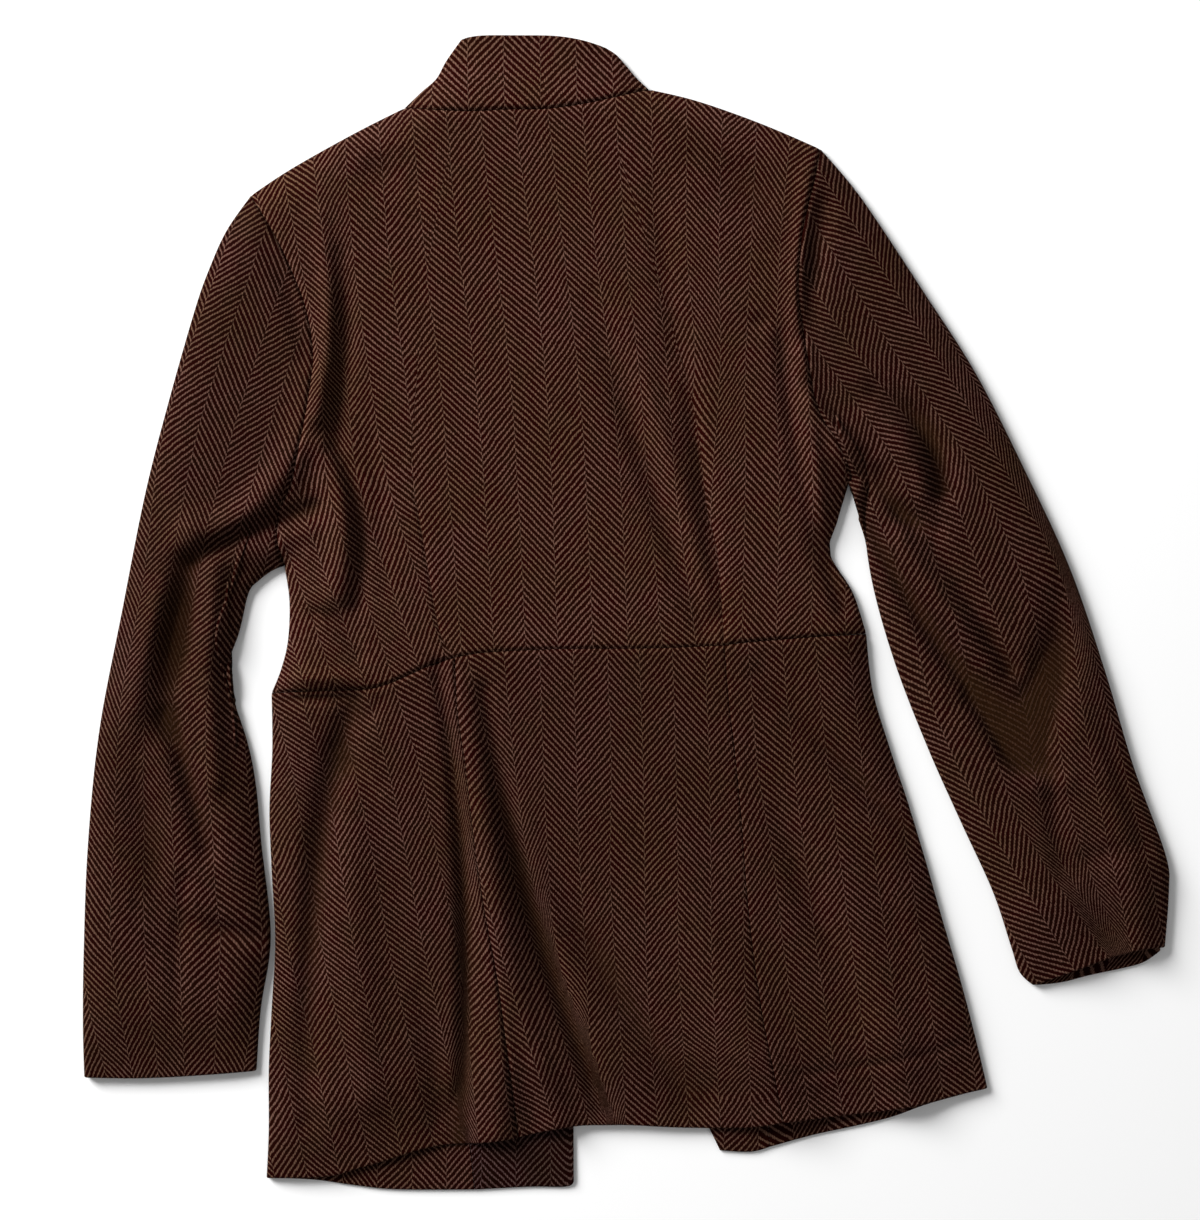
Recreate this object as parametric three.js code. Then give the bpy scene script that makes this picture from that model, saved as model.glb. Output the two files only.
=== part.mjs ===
import * as THREE from 'three';

// A tailored cardigan of herringbone knit, laid flat on its face: the back is uppermost and the
// open fronts lie under it. Millimetres, +Y towards the collar, Z up from the surface it lies on.

const CLOTH = 2;                // wall of the knit, which stands for its turned edges too
const SEAM_GAP = 0.3;           // clear space between two sewn pieces
const BED = CLOTH + SEAM_GAP;   // lowest underside of the upper ply
const EDGE = BED + CLOTH;       // height of a side seam, where both plies lie flat
const LOFT = 6.5;               // height of the back away from its seams and folds
const EDGE_ROUND = 26;          // distance over which the upper ply rises from a closed edge
const SLEEVE_FOLD = 3.4;        // outside radius of the fold along a sleeve
const SLEEVE_FOLD_START = 0.15; // share of the sleeve in which that fold opens out
const SLOPE_STEP = 2;           // distance used to measure the slope of the cloth

const SHOULDER_ROWS = 6;
const ARMHOLE_ROWS = 12;
const SIDE_ROWS = 5;
const PEPLUM_ROWS = 20;
const SIDE_PANEL_LEFT = 7;      // columns across each panel of the back
const CENTRE_PANEL = 11;
const SIDE_PANEL_RIGHT = 6;
const BACK_COLUMNS = SIDE_PANEL_LEFT + CENTRE_PANEL + SIDE_PANEL_RIGHT;
const FRONT_COLUMNS = 4;
const FRONT_ROWS = 10;
const SLEEVE_ROWS = 24;
const COLLAR_ROWS = 4;
const NECKLINE_COLUMNS = 2 * FRONT_COLUMNS;
const FOLD_ANGLES = [-60, -20, 20, 60];
const FOLD_STEPS = 14;          // straight steps along the line of one fold

const p = (x, y) => new THREE.Vector2(x, y);

// ---------------------------------------------------------------- corners shared by the pieces
const left = {
  neck: p(-155, 354), shoulder: p(-263, 292.5), underarm: p(-239.5, 33), waist: p(-248.5, -56),
  hem: p(-252, -396), dartWaist: p(-119.5, -31), dartHem: p(-75.5, -367),
  collar: p(-115, 402.5), cuffOut: p(-379.5, -325.5), cuffIn: p(-259, -320.5),
  frontNeck: p(-79, 298), frontWaist: p(-61, -27), frontHem: p(-36.5, -399),
  frontSeamWaist: p(-150, -42), frontSeamHem: p(-106, -404.5), collarFront: p(-70, 390),
};
const right = {
  neck: p(16, 367), shoulder: p(136.5, 325), underarm: p(157.5, 95), waist: p(168.5, -14.5),
  hem: p(253.5, -333), dartWaist: p(68.5, -22.5), dartHem: p(110, -356),
  collar: p(-14, 396), cuffOut: p(377.5, -234.5), cuffIn: p(285.5, -261),
  frontNeck: p(-73, 298), frontWaist: p(-46, -26), frontHem: p(66, -377),
  frontSeamWaist: p(70, -22), frontSeamHem: p(101, -374.5), collarFront: p(-64, 390),
};

// ---------------------------------------------------------------- seams and edges
const curve = (...points) => new THREE.SplineCurve(points);

left.shoulderSeam = curve(left.neck, p(-184, 339.5), p(-213.5, 323.5), p(-240, 308), left.shoulder);
left.armhole = curve(left.shoulder, p(-246, 265), p(-234, 240), p(-223, 210), p(-218.5, 177),
  p(-222, 146), p(-228, 114), p(-234.5, 88), p(-243, 70), p(-243.5, 51), left.underarm);
left.bodiceSide = curve(left.underarm, p(-236, 9), p(-237, -19), p(-242, -40), left.waist);
left.peplumSide = curve(left.waist, p(-248, -96), p(-250, -138), p(-248.5, -180), p(-246, -229),
  p(-248.5, -278), p(-250.5, -320), p(-250.5, -362), left.hem);
left.princess = curve(left.dartWaist, p(-117.5, -71), p(-112.5, -104), p(-108.5, -139),
  p(-104, -174), p(-98, -211), p(-90, -253), p(-82.5, -309), left.dartHem);
left.sleeveOuter = curve(left.shoulder, p(-280, 268), p(-292.5, 240), p(-302.5, 211), p(-321, 146),
  p(-337, 83), p(-353, 2), p(-369, -82), p(-377, -162), p(-380, -239), p(-380.5, -290), left.cuffOut);
left.sleeveInner = curve(left.underarm, p(-248, 29.5), p(-257.5, 22.5), p(-264.5, 14), p(-271, -13),
  p(-279.5, -38), p(-277, -55), p(-265.5, -90), p(-259.5, -120), p(-255.5, -162), p(-249, -227),
  p(-256, -278), left.cuffIn);
left.cuff = curve(left.cuffOut, p(-347, -326), p(-319, -325), p(-290, -323), left.cuffIn);
left.cuffUnder = left.cuff;
left.collarFold = curve(left.neck, p(-143, 365.5), p(-133, 374.5), p(-126, 387), left.collar);
left.collarTop = curve(left.collar, left.collarFront);
left.collarEnd = curve(left.frontNeck, left.collarFront);
left.frontNeckline = curve(left.neck, p(-147, 332.5), p(-130, 313.5), p(-106, 302), left.frontNeck);
left.frontEdge = curve(left.frontNeck, p(-73, 149), left.frontWaist);
left.frontEdgeLow = curve(left.frontWaist, p(-46, -166), p(-38, -271), left.frontHem);
left.frontSeam = curve(left.frontSeamWaist, p(-128, -200), left.frontSeamHem);
left.frontWaistSide = curve(left.waist, p(-198, -53), left.frontSeamWaist);
left.frontWaistCentre = curve(left.frontSeamWaist, p(-104, -31), left.frontWaist);
left.frontHemSide = curve(left.hem, p(-218, -397.5), p(-193, -401), p(-161.5, -404.3), left.frontSeamHem);
left.frontHemCentre = curve(left.frontSeamHem, p(-67, -402.5), p(-42, -402.5), left.frontHem);

right.shoulderSeam = curve(right.neck, p(46, 360), p(77.5, 349.5), p(107, 338), right.shoulder);
right.armhole = curve(right.shoulder, p(129.5, 296), p(124, 271.5), p(121, 247), p(120.5, 219),
  p(124.5, 191), p(129, 163), p(134.5, 140), p(145.5, 122), p(154, 107), right.underarm);
right.bodiceSide = curve(right.underarm, p(148.5, 65), p(143, 42), p(159, 14.5), right.waist);
right.peplumSide = curve(right.waist, p(173, -54), p(185, -94.5), p(197.5, -132), p(210, -173),
  p(222, -215), p(234.5, -257), p(245, -297), right.hem);
right.princess = curve(right.dartWaist, p(71.5, -61), p(76.5, -103), p(80.5, -145), p(83.5, -187),
  p(88, -232), p(95, -281), p(102, -316), right.dartHem);
right.sleeveOuter = curve(right.shoulder, p(155.5, 303), p(172, 280.5), p(208.5, 225), p(245, 168),
  p(279.5, 100), p(311, 31.5), p(335.5, -40), p(355.5, -107), p(378, -169), p(380.4, -194),
  right.cuffOut);
right.sleeveInner = curve(right.underarm, p(165, 96), p(170, 91), p(167, 65), p(173, 19.5),
  p(189, -36.5), p(211.5, -94.5), p(234.5, -146), p(257, -195), p(270, -234), p(276, -252),
  right.cuffIn);
right.cuff = curve(right.cuffOut, p(369, -234.5), p(356, -236), p(336, -242), p(318, -248.5),
  p(301, -255), right.cuffIn);
right.cuffUnder = curve(right.cuffOut, p(374, -241.5), p(361, -247), p(344.5, -250), p(325, -254),
  p(305, -259), right.cuffIn);
right.collarFold = curve(right.neck, p(12, 370.5), p(6.5, 376), p(-5.5, 390), right.collar);
right.collarTop = curve(right.collar, right.collarFront);
right.collarEnd = curve(right.frontNeck, right.collarFront);
right.frontNeckline = curve(right.neck, p(11, 342), p(-10, 318.5), p(-39, 304), right.frontNeck);
right.frontEdge = curve(right.frontNeck, p(-62, 149), right.frontWaist);
right.frontEdgeLow = curve(right.frontWaist, p(-18, -166), p(20, -278), right.frontHem);
right.frontSeam = curve(right.frontSeamWaist, p(85, -200), right.frontSeamHem);
right.frontWaistSide = curve(right.waist, p(120, -18), right.frontSeamWaist);
right.frontWaistCentre = curve(right.frontSeamWaist, p(12, -24), right.frontWaist);
right.frontHemSide = curve(right.hem, p(213, -344), p(188, -353), p(164.5, -359), p(132, -366),
  right.frontSeamHem);
right.frontHemCentre = curve(right.frontSeamHem, p(87.5, -378), right.frontHem);

const neckSeam = curve(left.neck, p(-133, 351.5), p(-109, 350.5), p(-84, 351.5), p(-57, 352),
  p(-31, 355.5), p(-8, 360.5), right.neck);
const collarTopEdge = curve(left.collar, p(-102, 404.5), p(-74, 404.5), p(-50, 404), p(-31, 401),
  right.collar);
const waistLeft = curve(left.waist, p(-228, -55), p(-204, -54), p(-180.5, -53), p(-166.5, -49.5),
  p(-152.5, -43.5), p(-137, -36.5), left.dartWaist);
const waistCentre = curve(left.dartWaist, p(-98.5, -27.5), p(-46, -25), p(17, -24.5), right.dartWaist);
const waistRight = curve(right.dartWaist, p(83.5, -20.5), p(125.5, -17), right.waist);
const hemLeft = curve(left.hem, p(-228, -395.5), p(-205, -394), p(-186, -388.5), p(-166.5, -383),
  p(-148, -377), p(-130, -373), p(-102, -371), left.dartHem);
const hemCentre = curve(left.dartHem, p(-53, -362), p(-33.5, -359), p(-0.5, -358.5), p(31, -360),
  p(59, -360.5), p(85.5, -360), right.dartHem);
const hemRight = curve(right.dartHem, p(136, -353.5), p(164, -350.5), p(192, -346.5), p(213, -342),
  p(232.5, -337.5), right.hem);

// ---------------------------------------------------------------- folds of the upper ply
// Each row is one ridge or trough along a bent line: how far it rises above the cloth around it
// at its start, middle and end, and its half width.
const fold = (from, via, to, start, middle, end, width) => ({
  line: new THREE.QuadraticBezierCurve(from, via, to).getPoints(FOLD_STEPS),
  rise: [start, middle, end],
  width,
});
const folds = [
  // left shoulder, and the pouch of cloth under the arm
  fold(p(-240, 270), p(-214, 195), p(-228, 96), 2, 5, 6, 15),
  fold(p(-204, 306), p(-188, 215), p(-207, 118), 0, -3.5, -3, 10),
  fold(p(-228, 84), p(-206, 52), p(-214, 0), 9, 9, 4, 18),
  fold(p(-204, 108), p(-168, 58), p(-194, -2), -2, -3.5, 0, 11),
  // right shoulder and side
  fold(p(134, 262), p(127, 212), p(136, 150), 1, 3, 4, 20),
  fold(p(113, 172), p(114, 95), p(150, 22), 0, -2.5, -1.5, 11),
  // back bodice
  fold(p(-20, 215), p(20, 75), p(60, -5), 0, -2.2, -1.5, 13),
  fold(p(28, 190), p(44, 90), p(58, 20), 0, 1.8, 0, 12),
  fold(p(-242, -38), p(-205, -40), p(-170, -36), 2.5, 3, 0, 12),
  // peplum
  fold(p(-190, -70), p(-215, -208), p(-230, -340), -2.5, -2.5, -1, 15),
  fold(p(-165, -110), p(-162, -240), p(-172, -375), 0, 2, 3, 26),
  fold(p(-130, -45), p(-115, -201), p(-118, -368), -1.5, -2.2, -2.5, 10),
  fold(p(-108, -60), p(-96, -225), p(-72, -372), 2, 5, 12, 19),
  fold(p(-97, -55), p(-66, -180), p(-20, -345), -1, -3.5, -2, 12),
  fold(p(-44, -190), p(0, -268), p(56, -345), -1, -4, -3, 18),
  fold(p(20, -170), p(66, -270), p(108, -358), 0, 4, 8, 22),
  fold(p(79, -78), p(108, -185), p(165, -312), -1, -2.2, -1, 11),
  fold(p(125, -90), p(165, -215), p(198, -345), 0, 3, 6, 20),
  fold(p(150, -72), p(177, -135), p(202, -170), -1, -2.8, 0, 11),
  // left sleeve
  fold(p(-272, 235), p(-300, 100), p(-340, -60), 2, 4, 3, 28),
  fold(p(-304, 40), p(-262, 84), p(-228, 158), 6, 8, 3, 13),
  fold(p(-298, 30), p(-297, -45), p(-274, -150), 6, 8, 0, 13),
  fold(p(-306, 25), p(-322, -22), p(-326, -72), -4, -7, -4, 11),
  fold(p(-286, 52), p(-264, 62), p(-244, 64), -2, -5, -3, 9),
  fold(p(-268, 104), p(-257, 118), p(-246, 136), -2, -4, -1, 10),
  fold(p(-326, -66), p(-296, -160), p(-316, -310), -3, -3.2, -1, 11),
  fold(p(-352, -90), p(-353, -190), p(-350, -320), 1, 3, 1, 18),
  fold(p(-302, -214), p(-278, -222), p(-252, -230), 0, -3, -4, 10),
  // right sleeve
  fold(p(160, 268), p(212, 190), p(272, 60), 1, 4, 3, 28),
  fold(p(158, 124), p(176, 104), p(192, 80), 6, 8, 3, 14),
  fold(p(188, 141), p(212, 118), p(220, 78), -2, -5, -1, 11),
  fold(p(180, 52), p(203, -20), p(268, -94), -3, -5, -5, 12),
  fold(p(205, 62), p(235, 0), p(282, -80), 3, 5, 2, 15),
  fold(p(308, 10), p(288, -30), p(276, -94), -2, -4, -4, 11),
  fold(p(294, -104), p(298, -131), p(302, -160), -2, -3, 0, 10),
  fold(p(262, -120), p(290, -180), p(322, -246), 1, 3, 4, 22),
  fold(p(330, -120), p(352, -180), p(362, -236), 2, 5, 10, 18),
];

// ---------------------------------------------------------------- height of the upper ply
const closedEdges = [left, right].flatMap((side) => [side.shoulderSeam, side.bodiceSide,
  side.peplumSide, side.sleeveOuter, side.sleeveInner, side.collarFold])
  .map((edge) => edge.getPoints(60));

function nearest(point, line) {
  let best = { distance: Infinity, along: 0 };
  for (let i = 0; i + 1 < line.length; i += 1) {
    const step = line[i + 1].clone().sub(line[i]);
    const share = THREE.MathUtils.clamp(point.clone().sub(line[i]).dot(step) / step.lengthSq(), 0, 1);
    const distance = point.distanceTo(line[i].clone().addScaledVector(step, share));
    if (distance < best.distance) best = { distance, along: (i + share) / (line.length - 1) };
  }
  return best;
}

function riseAt([start, middle, end], along) {
  const half = 2 * along;
  return half < 1
    ? THREE.MathUtils.lerp(start, middle, THREE.MathUtils.smoothstep(half, 0, 1))
    : THREE.MathUtils.lerp(middle, end, THREE.MathUtils.smoothstep(half, 1, 2));
}

function height(point, edgeHeight) {
  const away = Math.min(...closedEdges.map((edge) => nearest(point, edge).distance));
  const share = Math.min(1, away / EDGE_ROUND);
  let raised = LOFT - edgeHeight;
  for (const { line, rise, width } of folds) {
    const { distance, along } = nearest(point, line);
    raised += riseAt(rise, along) * Math.exp(-((distance / width) ** 2));
  }
  return Math.max(EDGE, edgeHeight + raised * share * (2 - share));
}

// Underside of the upper ply: a cloth's thickness below it, measured square to its slope.
function underside(point, top, edgeHeight) {
  const east = height(p(point.x + SLOPE_STEP, point.y), edgeHeight);
  const west = height(p(point.x - SLOPE_STEP, point.y), edgeHeight);
  const north = height(p(point.x, point.y + SLOPE_STEP), edgeHeight);
  const south = height(p(point.x, point.y - SLOPE_STEP), edgeHeight);
  const slope = Math.hypot(east - west, north - south) / (2 * SLOPE_STEP);
  return Math.max(BED, top - CLOTH * Math.hypot(1, slope));
}

// ---------------------------------------------------------------- plan of a piece
const spaced = (edge, steps) => edge.getSpacedPoints(steps);

function chain(...runs) {
  return runs.flatMap((run, i) => (i === 0 ? run : run.slice(1)));
}

function shares(first, second) {
  const lengths = [0];
  for (let i = 1; i < first.length; i += 1) {
    lengths.push(lengths[i - 1] + first[i].distanceTo(first[i - 1]) + second[i].distanceTo(second[i - 1]));
  }
  return lengths.map((length) => length / lengths[lengths.length - 1]);
}

// Fills the space between four edges that share their corners; rows run from top to bottom.
function fill(top, bottom, start, end) {
  const across = shares(top, bottom);
  const down = shares(start, end);
  const last = top.length - 1;
  return down.map((v, j) => across.map((u, i) => {
    const between = top[i].clone().lerp(bottom[i], v).add(start[j].clone().lerp(end[j], u));
    const corners = top[0].clone().lerp(top[last], u).lerp(bottom[0].clone().lerp(bottom[last], u), v);
    return between.sub(corners);
  }));
}

function rimOf(rows, columns) {
  const rim = [];
  for (let i = 0; i < columns; i += 1) rim.push([0, i]);
  for (let j = 0; j < rows; j += 1) rim.push([j, columns]);
  for (let i = columns; i > 0; i -= 1) rim.push([rows, i]);
  for (let j = rows; j > 0; j -= 1) rim.push([j, 0]);
  return rim;
}

// Draws the edge of a plan in by half the seam gap, so that neighbours stay clear of each other.
function drawIn(plan) {
  const rim = rimOf(plan.length - 1, plan[0].length - 1);
  const at = (k) => plan[rim[(k + rim.length) % rim.length][0]][rim[(k + rim.length) % rim.length][1]];
  const turn = Math.sign(rim.reduce((sum, _, k) => sum + at(k).cross(at(k + 1)), 0));
  const moved = rim.map((_, k) => {
    const before = at(k).clone().sub(at(k - 1)).normalize();
    const after = at(k + 1).clone().sub(at(k)).normalize();
    const inward = p(-before.y - after.y, before.x + after.x).multiplyScalar(turn);
    const squeeze = Math.max(0.4, 1 + before.dot(after));
    return at(k).clone().addScaledVector(inward, SEAM_GAP / 2 / squeeze);
  });
  rim.forEach(([j, i], k) => plan[j][i].copy(moved[k]));
  return plan;
}

// ---------------------------------------------------------------- walls of cloth
const raise = (point, z) => new THREE.Vector3(point.x, point.y, z);

// A closed wall between two sheets of points that have the same rows and columns.
function wall(outside, inside) {
  const rows = outside.length - 1;
  const columns = outside[0].length - 1;
  const points = [...outside.flat(), ...inside.flat()];
  const back = (rows + 1) * (columns + 1);
  const index = (j, i) => j * (columns + 1) + i;
  const faces = [];
  const square = (a, b, c, d) => faces.push(a, b, c, a, c, d);
  for (let j = 0; j < rows; j += 1) {
    for (let i = 0; i < columns; i += 1) {
      const [a, b, c, d] = [index(j, i), index(j + 1, i), index(j + 1, i + 1), index(j, i + 1)];
      square(a, b, c, d);
      square(back + a, back + d, back + c, back + b);
    }
  }
  const rim = rimOf(rows, columns).map(([j, i]) => index(j, i));
  rim.forEach((here, k) => {
    const next = rim[(k + 1) % rim.length];
    square(here, next, back + next, back + here);
  });
  const geometry = new THREE.BufferGeometry().setFromPoints(points);
  geometry.setIndex(volume(points, faces) > 0 ? faces : faces.reverse());
  geometry.computeVertexNormals();
  return geometry;
}

function volume(points, faces) {
  let sum = 0;
  for (let k = 0; k < faces.length; k += 3) {
    const [a, b, c] = [points[faces[k]], points[faces[k + 1]], points[faces[k + 2]]];
    sum += a.dot(b.clone().cross(c));
  }
  return sum;
}

function upperPanel(plan) {
  const tops = plan.map((row) => row.map((point) => height(point, EDGE)));
  const outside = plan.map((row, j) => row.map((point, i) => raise(point, tops[j][i])));
  const inside = plan.map((row, j) => row.map((point, i) => raise(point, underside(point, tops[j][i], EDGE))));
  return wall(outside, inside);
}

function lowerPanel(plan) {
  return wall(plan.map((row) => row.map((point) => raise(point, 0))),
    plan.map((row) => row.map((point) => raise(point, CLOTH))));
}

// ---------------------------------------------------------------- cloth folded under itself
// One row of a folded sheet: flat below, round the fold, then back over the top. Columns of both
// plies start at the fold. The row is drawn as two lines of points, outside and inside the wall.
function foldedRow(over, under, radius) {
  const [edge, next] = over;
  const inward = next.clone().sub(edge).normalize();
  const offFold = edge.clone().addScaledVector(inward, radius);
  const arc = (angle, size) => {
    const turn = THREE.MathUtils.degToRad(angle);
    const point = offFold.clone().addScaledVector(inward, -size * Math.cos(turn));
    return raise(point, radius + size * Math.sin(turn));
  };
  const below = [offFold, ...under.slice(1)].reverse();
  const above = over.slice(1).map((point, i) => {
    const edgeHeight = THREE.MathUtils.lerp(2 * radius, EDGE, (i + 1) / (over.length - 1));
    const top = height(point, edgeHeight);
    return { point, top, lowest: underside(point, top, edgeHeight) };
  });
  above.unshift({ point: offFold, top: 2 * radius, lowest: 2 * radius - CLOTH });
  return {
    outside: [...below.map((point) => raise(point, 0)),
      ...FOLD_ANGLES.map((angle) => arc(angle, radius)),
      ...above.map(({ point, top }) => raise(point, top))],
    inside: [...below.map((point) => raise(point, CLOTH)),
      ...FOLD_ANGLES.map((angle) => arc(angle, radius - CLOTH)),
      ...above.map(({ point, lowest }) => raise(point, lowest))],
  };
}

function sleeve(side) {
  const outer = spaced(side.sleeveOuter, SLEEVE_ROWS);
  const inner = spaced(side.sleeveInner, SLEEVE_ROWS);
  const armhole = spaced(side.armhole, ARMHOLE_ROWS);
  const over = drawIn(fill(armhole, spaced(side.cuff, ARMHOLE_ROWS), outer, inner));
  const under = drawIn(fill(armhole, spaced(side.cuffUnder, ARMHOLE_ROWS), outer, inner));
  const rows = over.map((row, j) => {
    const opened = THREE.MathUtils.smoothstep(j / SLEEVE_ROWS, 0, SLEEVE_FOLD_START);
    return foldedRow(row, under[j], THREE.MathUtils.lerp(EDGE / 2, SLEEVE_FOLD, opened));
  });
  return wall(rows.map((row) => row.outside), rows.map((row) => row.inside));
}

// The collar runs from one front end, round both folds, to the other front end.
function collar() {
  const over = drawIn(fill(spaced(neckSeam, BACK_COLUMNS), spaced(collarTopEdge, BACK_COLUMNS),
    spaced(left.collarFold, COLLAR_ROWS), spaced(right.collarFold, COLLAR_ROWS)));
  const half = BACK_COLUMNS / 2;
  const ends = [left, right].map((side) => drawIn(fill(
    spaced(side.frontNeckline, NECKLINE_COLUMNS), spaced(side.collarTop, NECKLINE_COLUMNS),
    spaced(side.collarFold, COLLAR_ROWS), spaced(side.collarEnd, COLLAR_ROWS))));
  const rows = over.map((row, j) => {
    const first = foldedRow(row.slice(0, half + 1), ends[0][j], EDGE / 2);
    const second = foldedRow(row.slice(half).reverse(), ends[1][j], EDGE / 2);
    const join = (one, two) => [...one, ...two.reverse().slice(1)];
    return { outside: join(first.outside, second.outside), inside: join(first.inside, second.inside) };
  });
  return wall(rows.map((row) => row.outside), rows.map((row) => row.inside));
}

// ---------------------------------------------------------------- pieces
const sideOfBody = (side) => chain(spaced(side.shoulderSeam, SHOULDER_ROWS),
  spaced(side.armhole, ARMHOLE_ROWS), spaced(side.bodiceSide, SIDE_ROWS));

const backWaist = [spaced(waistLeft, SIDE_PANEL_LEFT), spaced(waistCentre, CENTRE_PANEL),
  spaced(waistRight, SIDE_PANEL_RIGHT)];
const backHem = [spaced(hemLeft, SIDE_PANEL_LEFT), spaced(hemCentre, CENTRE_PANEL),
  spaced(hemRight, SIDE_PANEL_RIGHT)];
const backSeams = [left.peplumSide, left.princess, right.princess, right.peplumSide]
  .map((seam) => spaced(seam, PEPLUM_ROWS));

const backBodice = () => upperPanel(drawIn(fill(spaced(neckSeam, BACK_COLUMNS),
  chain(...backWaist), sideOfBody(left), sideOfBody(right))));

const backPeplum = (i) => upperPanel(drawIn(fill(backWaist[i], backHem[i], backSeams[i],
  backSeams[i + 1])));

function frontBodice(side) {
  const outer = sideOfBody(side);
  const waist = chain(spaced(side.frontWaistSide, FRONT_COLUMNS),
    spaced(side.frontWaistCentre, FRONT_COLUMNS));
  return lowerPanel(drawIn(fill(spaced(side.frontNeckline, NECKLINE_COLUMNS), waist, outer,
    spaced(side.frontEdge, outer.length - 1))));
}

const frontSide = (side) => lowerPanel(drawIn(fill(spaced(side.frontWaistSide, FRONT_COLUMNS),
  spaced(side.frontHemSide, FRONT_COLUMNS), spaced(side.peplumSide, FRONT_ROWS),
  spaced(side.frontSeam, FRONT_ROWS))));

const frontCentre = (side) => lowerPanel(drawIn(fill(spaced(side.frontWaistCentre, FRONT_COLUMNS),
  spaced(side.frontHemCentre, FRONT_COLUMNS), spaced(side.frontSeam, FRONT_ROWS),
  spaced(side.frontEdgeLow, FRONT_ROWS))));

const pieces = [
  { name: 'collar', colour: 0x4a2a20, shape: collar },
  { name: 'back_bodice', colour: 0x402319, shape: backBodice },
  { name: 'back_peplum_left', colour: 0x3c2118, shape: () => backPeplum(0) },
  { name: 'back_peplum_centre', colour: 0x402319, shape: () => backPeplum(1) },
  { name: 'back_peplum_right', colour: 0x3c2118, shape: () => backPeplum(2) },
  { name: 'front_bodice_left', colour: 0x361e15, shape: () => frontBodice(left) },
  { name: 'front_bodice_right', colour: 0x361e15, shape: () => frontBodice(right) },
  { name: 'front_peplum_side_left', colour: 0x3a2017, shape: () => frontSide(left) },
  { name: 'front_peplum_side_right', colour: 0x3a2017, shape: () => frontSide(right) },
  { name: 'front_peplum_centre_left', colour: 0x3a2017, shape: () => frontCentre(left) },
  { name: 'front_peplum_centre_right', colour: 0x3a2017, shape: () => frontCentre(right) },
  { name: 'sleeve_left', colour: 0x3e2218, shape: () => sleeve(left) },
  { name: 'sleeve_right', colour: 0x3e2218, shape: () => sleeve(right) },
];

const cardigan = new THREE.Group();
cardigan.name = 'cardigan';
for (const { name, colour, shape } of pieces) {
  const material = new THREE.MeshStandardMaterial({ color: colour, roughness: 0.95, metalness: 0 });
  const mesh = new THREE.Mesh(shape(), material);
  mesh.name = name;
  cardigan.add(mesh);
}

export default cardigan;
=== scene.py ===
# %% [markdown]
# # A herringbone cardigan, laid flat on its face
#
# The cardigan is cut from a brown herringbone knit and sewn like a jacket: a stand collar, set-in
# sleeves, a back with two darts, and a flared peplum in three panels. It lies face down, so its
# back is uppermost and its two open fronts lie underneath. Each cell below makes one thing, says
# what it is on the real cardigan, and why it is made that way.

# %% Load the frame
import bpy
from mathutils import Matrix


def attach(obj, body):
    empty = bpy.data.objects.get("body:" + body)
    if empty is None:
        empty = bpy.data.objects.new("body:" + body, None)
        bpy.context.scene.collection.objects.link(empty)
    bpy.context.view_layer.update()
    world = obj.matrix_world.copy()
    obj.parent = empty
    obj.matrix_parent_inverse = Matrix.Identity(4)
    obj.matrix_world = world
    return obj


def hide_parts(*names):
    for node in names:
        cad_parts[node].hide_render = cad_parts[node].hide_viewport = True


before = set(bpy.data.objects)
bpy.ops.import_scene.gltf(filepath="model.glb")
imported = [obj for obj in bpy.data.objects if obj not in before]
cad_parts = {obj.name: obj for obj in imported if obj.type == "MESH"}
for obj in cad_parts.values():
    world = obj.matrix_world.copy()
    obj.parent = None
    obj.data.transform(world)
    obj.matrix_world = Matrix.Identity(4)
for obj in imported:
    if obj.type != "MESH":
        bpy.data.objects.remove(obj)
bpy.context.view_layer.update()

# %% Python's own tools
import math
import bmesh
import bpy
import numpy as np

MM = 0.001                      # every size below is in millimetres; Blender works in metres

# %% [markdown]
# ## Camera
# The camera hangs over the middle of the garment and looks straight down, so the cloth keeps its
# true outline. A long lens from high up keeps the raised folds from leaning outwards. Colours are
# shown as they are: Blender's usual film curve would lift the deep browns to a dusty grey.

# %% Camera
VIEW_CENTRE = (-18.2, 2.1)
VIEW_LENGTH = 854               # the long side of the view, on the cloth
EYE_HEIGHT = 1800
CLOTH_LEVEL = 5

camera_data = bpy.data.cameras.new("camera")
camera_data.lens = camera_data.sensor_width * (EYE_HEIGHT - CLOTH_LEVEL) / VIEW_LENGTH
camera = bpy.data.objects.new("camera", camera_data)
camera.location = (VIEW_CENTRE[0] * MM, VIEW_CENTRE[1] * MM, EYE_HEIGHT * MM)
bpy.context.scene.collection.objects.link(camera)
bpy.context.scene.camera = camera
bpy.context.scene.view_settings.view_transform = "Standard"
print("lens:", round(camera_data.lens, 1), "mm")

# %% [markdown]
# ## Floor and light
# Dark cloth shows its folds by soft shading, so one broad lamp stands low at the upper left and
# rakes across them, with a faint one opposite under an even sky. The floor is a plain pale plane.

# %% Floor
FLOOR_SIZE = 6000

floor_shape = bmesh.new()
bmesh.ops.create_grid(floor_shape, x_segments=1, y_segments=1, size=FLOOR_SIZE / 2 * MM)
floor_mesh = bpy.data.meshes.new("floor")
floor_shape.to_mesh(floor_mesh)
floor_shape.free()
floor = bpy.data.objects.new("floor", floor_mesh)
bpy.context.scene.collection.objects.link(floor)

floor_paint = bpy.data.materials.new("pale_floor")
floor_paint.use_nodes = True
floor_shader = floor_paint.node_tree.nodes["Principled BSDF"]
floor_shader.inputs["Base Color"].default_value = (0.9, 0.9, 0.9, 1)
floor_shader.inputs["Roughness"].default_value = 0.9
floor_mesh.materials.append(floor_paint)


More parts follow.
